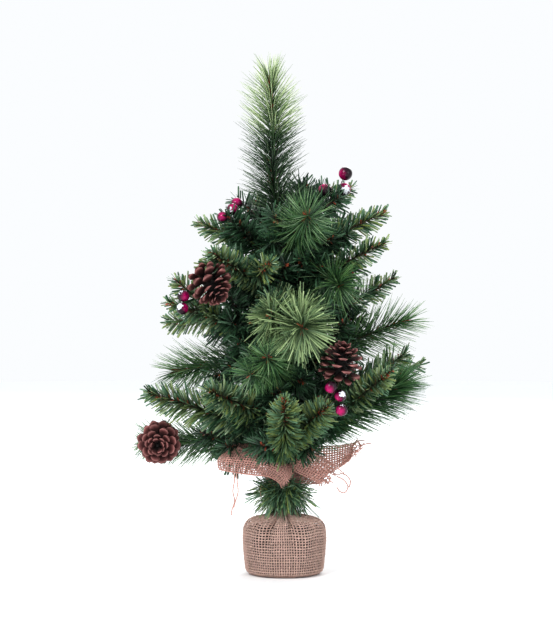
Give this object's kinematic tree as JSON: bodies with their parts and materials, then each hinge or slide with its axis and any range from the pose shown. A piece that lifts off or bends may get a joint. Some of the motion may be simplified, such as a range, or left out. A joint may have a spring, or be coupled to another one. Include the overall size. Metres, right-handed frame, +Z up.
{
  "type": "artificial tabletop tree",
  "caption": "Small artificial pine tree with bendable wire branches, pine cones, glossy berries and a burlap bow, on a burlap-wrapped weighted base.",
  "frame": {"origin": "centre of the flat bottom of the burlap sack, on the trunk's axis", "axes": "+Z up along the trunk, -Y towards the tree's front, +X to the right of someone who looks at its front"},
  "size_m": [0.3377, 0.3169, 0.5862],
  "materials": {
    "weight_cement": "rough cast",
    "sack_burlap": "open woven jute",
    "tie_twine": "twisted jute",
    "rod_steel": "satin",
    "trunk_tape": "crepe paper tape",
    "long_needles": "matte film strips",
    "short_needles": "matte film strips",
    "frosted_needles": "matte film strips with pale tips",
    "branch_wire": "twisted wire",
    "pine_cone": "dry scales",
    "berry_gloss": "lacquered, part snow flocked",
    "bow_burlap": "open woven jute"
  },
  "bodies": {
    "base": {"weight_block": "weight_cement", "burlap_sack": "sack_burlap", "sack_tie": "tie_twine", "trunk_rod": "rod_steel", "trunk_tape": "trunk_tape", "trunk_garland": "long_needles", "burlap_bow": "bow_burlap"},
    "leader": {"leader_wire": "branch_wire", "leader_needles": "frosted_needles"},
    "right_top": {"right_top_wire": "branch_wire", "right_top_needles": "short_needles", "berries_right_top": "berry_gloss"},
    "right_upper": {"right_upper_wire": "branch_wire", "right_upper_needles": "short_needles"},
    "right_fork": {"right_fork_wire": "branch_wire", "right_fork_needles": "short_needles"},
    "right_mid": {"right_mid_wire": "branch_wire", "right_mid_needles": "short_needles"},
    "right_long": {"right_long_wire": "branch_wire", "right_long_needles": "long_needles"},
    "right_low": {"right_low_wire": "branch_wire", "right_low_needles": "short_needles"},
    "right_bottom": {"right_bottom_wire": "branch_wire", "right_bottom_needles": "long_needles"},
    "front_top": {"front_top_wire": "branch_wire", "front_top_needles": "long_needles"},
    "front_flocked": {"front_flocked_wire": "branch_wire", "front_flocked_needles": "frosted_needles"},
    "front_left": {"front_left_wire": "branch_wire", "front_left_needles": "long_needles"},
    "front_bottom": {"front_bottom_wire": "branch_wire", "front_bottom_needles": "short_needles", "cone_right": "pine_cone", "berries_right_lower": "berry_gloss"},
    "left_top": {"left_top_wire": "branch_wire", "left_top_needles": "short_needles", "berries_left_top": "berry_gloss"},
    "left_fork": {"left_fork_wire": "branch_wire", "left_fork_needles": "short_needles", "cone_left_upper": "pine_cone"},
    "left_mid": {"left_mid_wire": "branch_wire", "left_mid_needles": "short_needles", "berries_left_mid": "berry_gloss"},
    "left_long": {"left_long_wire": "branch_wire", "left_long_needles": "long_needles"},
    "left_low": {"left_low_wire": "branch_wire", "left_low_needles": "short_needles"},
    "left_front": {"left_front_wire": "branch_wire", "left_front_needles": "short_needles"},
    "left_bottom": {"left_bottom_wire": "branch_wire", "left_bottom_needles": "long_needles", "cone_left_lower": "pine_cone"},
    "back_top": {"back_top_wire": "branch_wire", "back_top_needles": "short_needles"},
    "back_left": {"back_left_wire": "branch_wire", "back_left_needles": "short_needles"},
    "back_right": {"back_right_wire": "branch_wire", "back_right_needles": "short_needles"},
    "back_low": {"back_low_wire": "branch_wire", "back_low_needles": "long_needles"}
  },
  "joints": [
    {"name": "leader_bend", "type": "hinge", "parent": "base", "child": "leader", "pos_m": [0, 0, 0.4077], "axis": [0, 1, 0], "range_deg": [-15, 10]},
    {"name": "right_top_hinge", "type": "hinge", "parent": "base", "child": "right_top", "pos_m": [0.00678, 0.00424, 0.402], "axis": [0.5299, -0.848, 0], "range_deg": [-20, 36]},
    {"name": "right_upper_hinge", "type": "hinge", "parent": "base", "child": "right_upper", "pos_m": [0.008, 0, 0.362], "axis": [0, -1, 0], "range_deg": [-20, 24]},
    {"name": "right_fork_hinge", "type": "hinge", "parent": "base", "child": "right_fork", "pos_m": [0.00693, -0.004, 0.326], "axis": [-0.5, -0.866, 0], "range_deg": [-20, 38]},
    {"name": "right_mid_hinge", "type": "hinge", "parent": "base", "child": "right_mid", "pos_m": [0.00731, 0.00325, 0.28], "axis": [0.4067, -0.9135, 0], "range_deg": [-20, 40]},
    {"name": "right_long_hinge", "type": "hinge", "parent": "base", "child": "right_long", "pos_m": [0.00796, -0.00084, 0.24], "axis": [-0.1045, -0.9945, 0], "range_deg": [-20, 40]},
    {"name": "right_low_hinge", "type": "hinge", "parent": "base", "child": "right_low", "pos_m": [0.00706, 0.00376, 0.2], "axis": [0.4695, -0.8829, 0], "range_deg": [-20, 30]},
    {"name": "right_bottom_hinge", "type": "hinge", "parent": "base", "child": "right_bottom", "pos_m": [0.00776, -0.00194, 0.156], "axis": [-0.2419, -0.9703, 0], "range_deg": [-20, 12]},
    {"name": "front_top_hinge", "type": "hinge", "parent": "base", "child": "front_top", "pos_m": [0.00194, -0.00776, 0.378], "axis": [-0.9703, -0.2419, 0], "range_deg": [-20, 48]},
    {"name": "front_flocked_hinge", "type": "hinge", "parent": "base", "child": "front_flocked", "pos_m": [0.00111, -0.00792, 0.296], "axis": [-0.9903, -0.1392, 0], "range_deg": [-20, 46]},
    {"name": "front_left_hinge", "type": "hinge", "parent": "base", "child": "front_left", "pos_m": [-0.00111, -0.00792, 0.232], "axis": [-0.9903, 0.1392, 0], "range_deg": [-20, 30]},
    {"name": "front_bottom_hinge", "type": "hinge", "parent": "base", "child": "front_bottom", "pos_m": [0, -0.008, 0.15], "axis": [-1, 0, 0], "range_deg": [-6, 8]},
    {"name": "left_top_hinge", "type": "hinge", "parent": "base", "child": "left_top", "pos_m": [-0.00792, 0.00111, 0.366], "axis": [0.1392, 0.9903, 0], "range_deg": [-20, 17]},
    {"name": "left_fork_hinge", "type": "hinge", "parent": "base", "child": "left_fork", "pos_m": [-0.00535, -0.00594, 0.322], "axis": [-0.7431, 0.6691, 0], "range_deg": [-20, 28]},
    {"name": "left_mid_hinge", "type": "hinge", "parent": "base", "child": "left_mid", "pos_m": [-0.00752, -0.00274, 0.27], "axis": [-0.342, 0.9397, 0], "range_deg": [-20, 34]},
    {"name": "left_long_hinge", "type": "hinge", "parent": "base", "child": "left_long", "pos_m": [-0.00783, 0.00166, 0.262], "axis": [0.2079, 0.9781, 0], "range_deg": [-20, 58]},
    {"name": "left_low_hinge", "type": "hinge", "parent": "base", "child": "left_low", "pos_m": [-0.00756, -0.00261, 0.16], "axis": [-0.3256, 0.9455, 0], "range_deg": [-14, 28]},
    {"name": "left_front_hinge", "type": "hinge", "parent": "base", "child": "left_front", "pos_m": [-0.00492, -0.0063, 0.178], "axis": [-0.788, 0.6157, 0], "range_deg": [-20, 52]},
    {"name": "left_bottom_hinge", "type": "hinge", "parent": "base", "child": "left_bottom", "pos_m": [-0.00776, 0.00194, 0.15], "axis": [0.2419, 0.9703, 0], "range_deg": [-10, 12]},
    {"name": "back_top_hinge", "type": "hinge", "parent": "base", "child": "back_top", "pos_m": [-0.003, 0.00742, 0.39], "axis": [0.9272, 0.3746, 0], "range_deg": [-20, 38]},
    {"name": "back_left_hinge", "type": "hinge", "parent": "base", "child": "back_left", "pos_m": [-0.00556, 0.00575, 0.3], "axis": [0.7193, 0.6947, 0], "range_deg": [-20, 40]},
    {"name": "back_right_hinge", "type": "hinge", "parent": "base", "child": "back_right", "pos_m": [0.00351, 0.00719, 0.312], "axis": [0.8988, -0.4384, 0], "range_deg": [-20, 44]},
    {"name": "back_low_hinge", "type": "hinge", "parent": "base", "child": "back_low", "pos_m": [-0.00111, 0.00792, 0.212], "axis": [0.9903, 0.1392, 0], "range_deg": [-20, 34]}
  ]
}
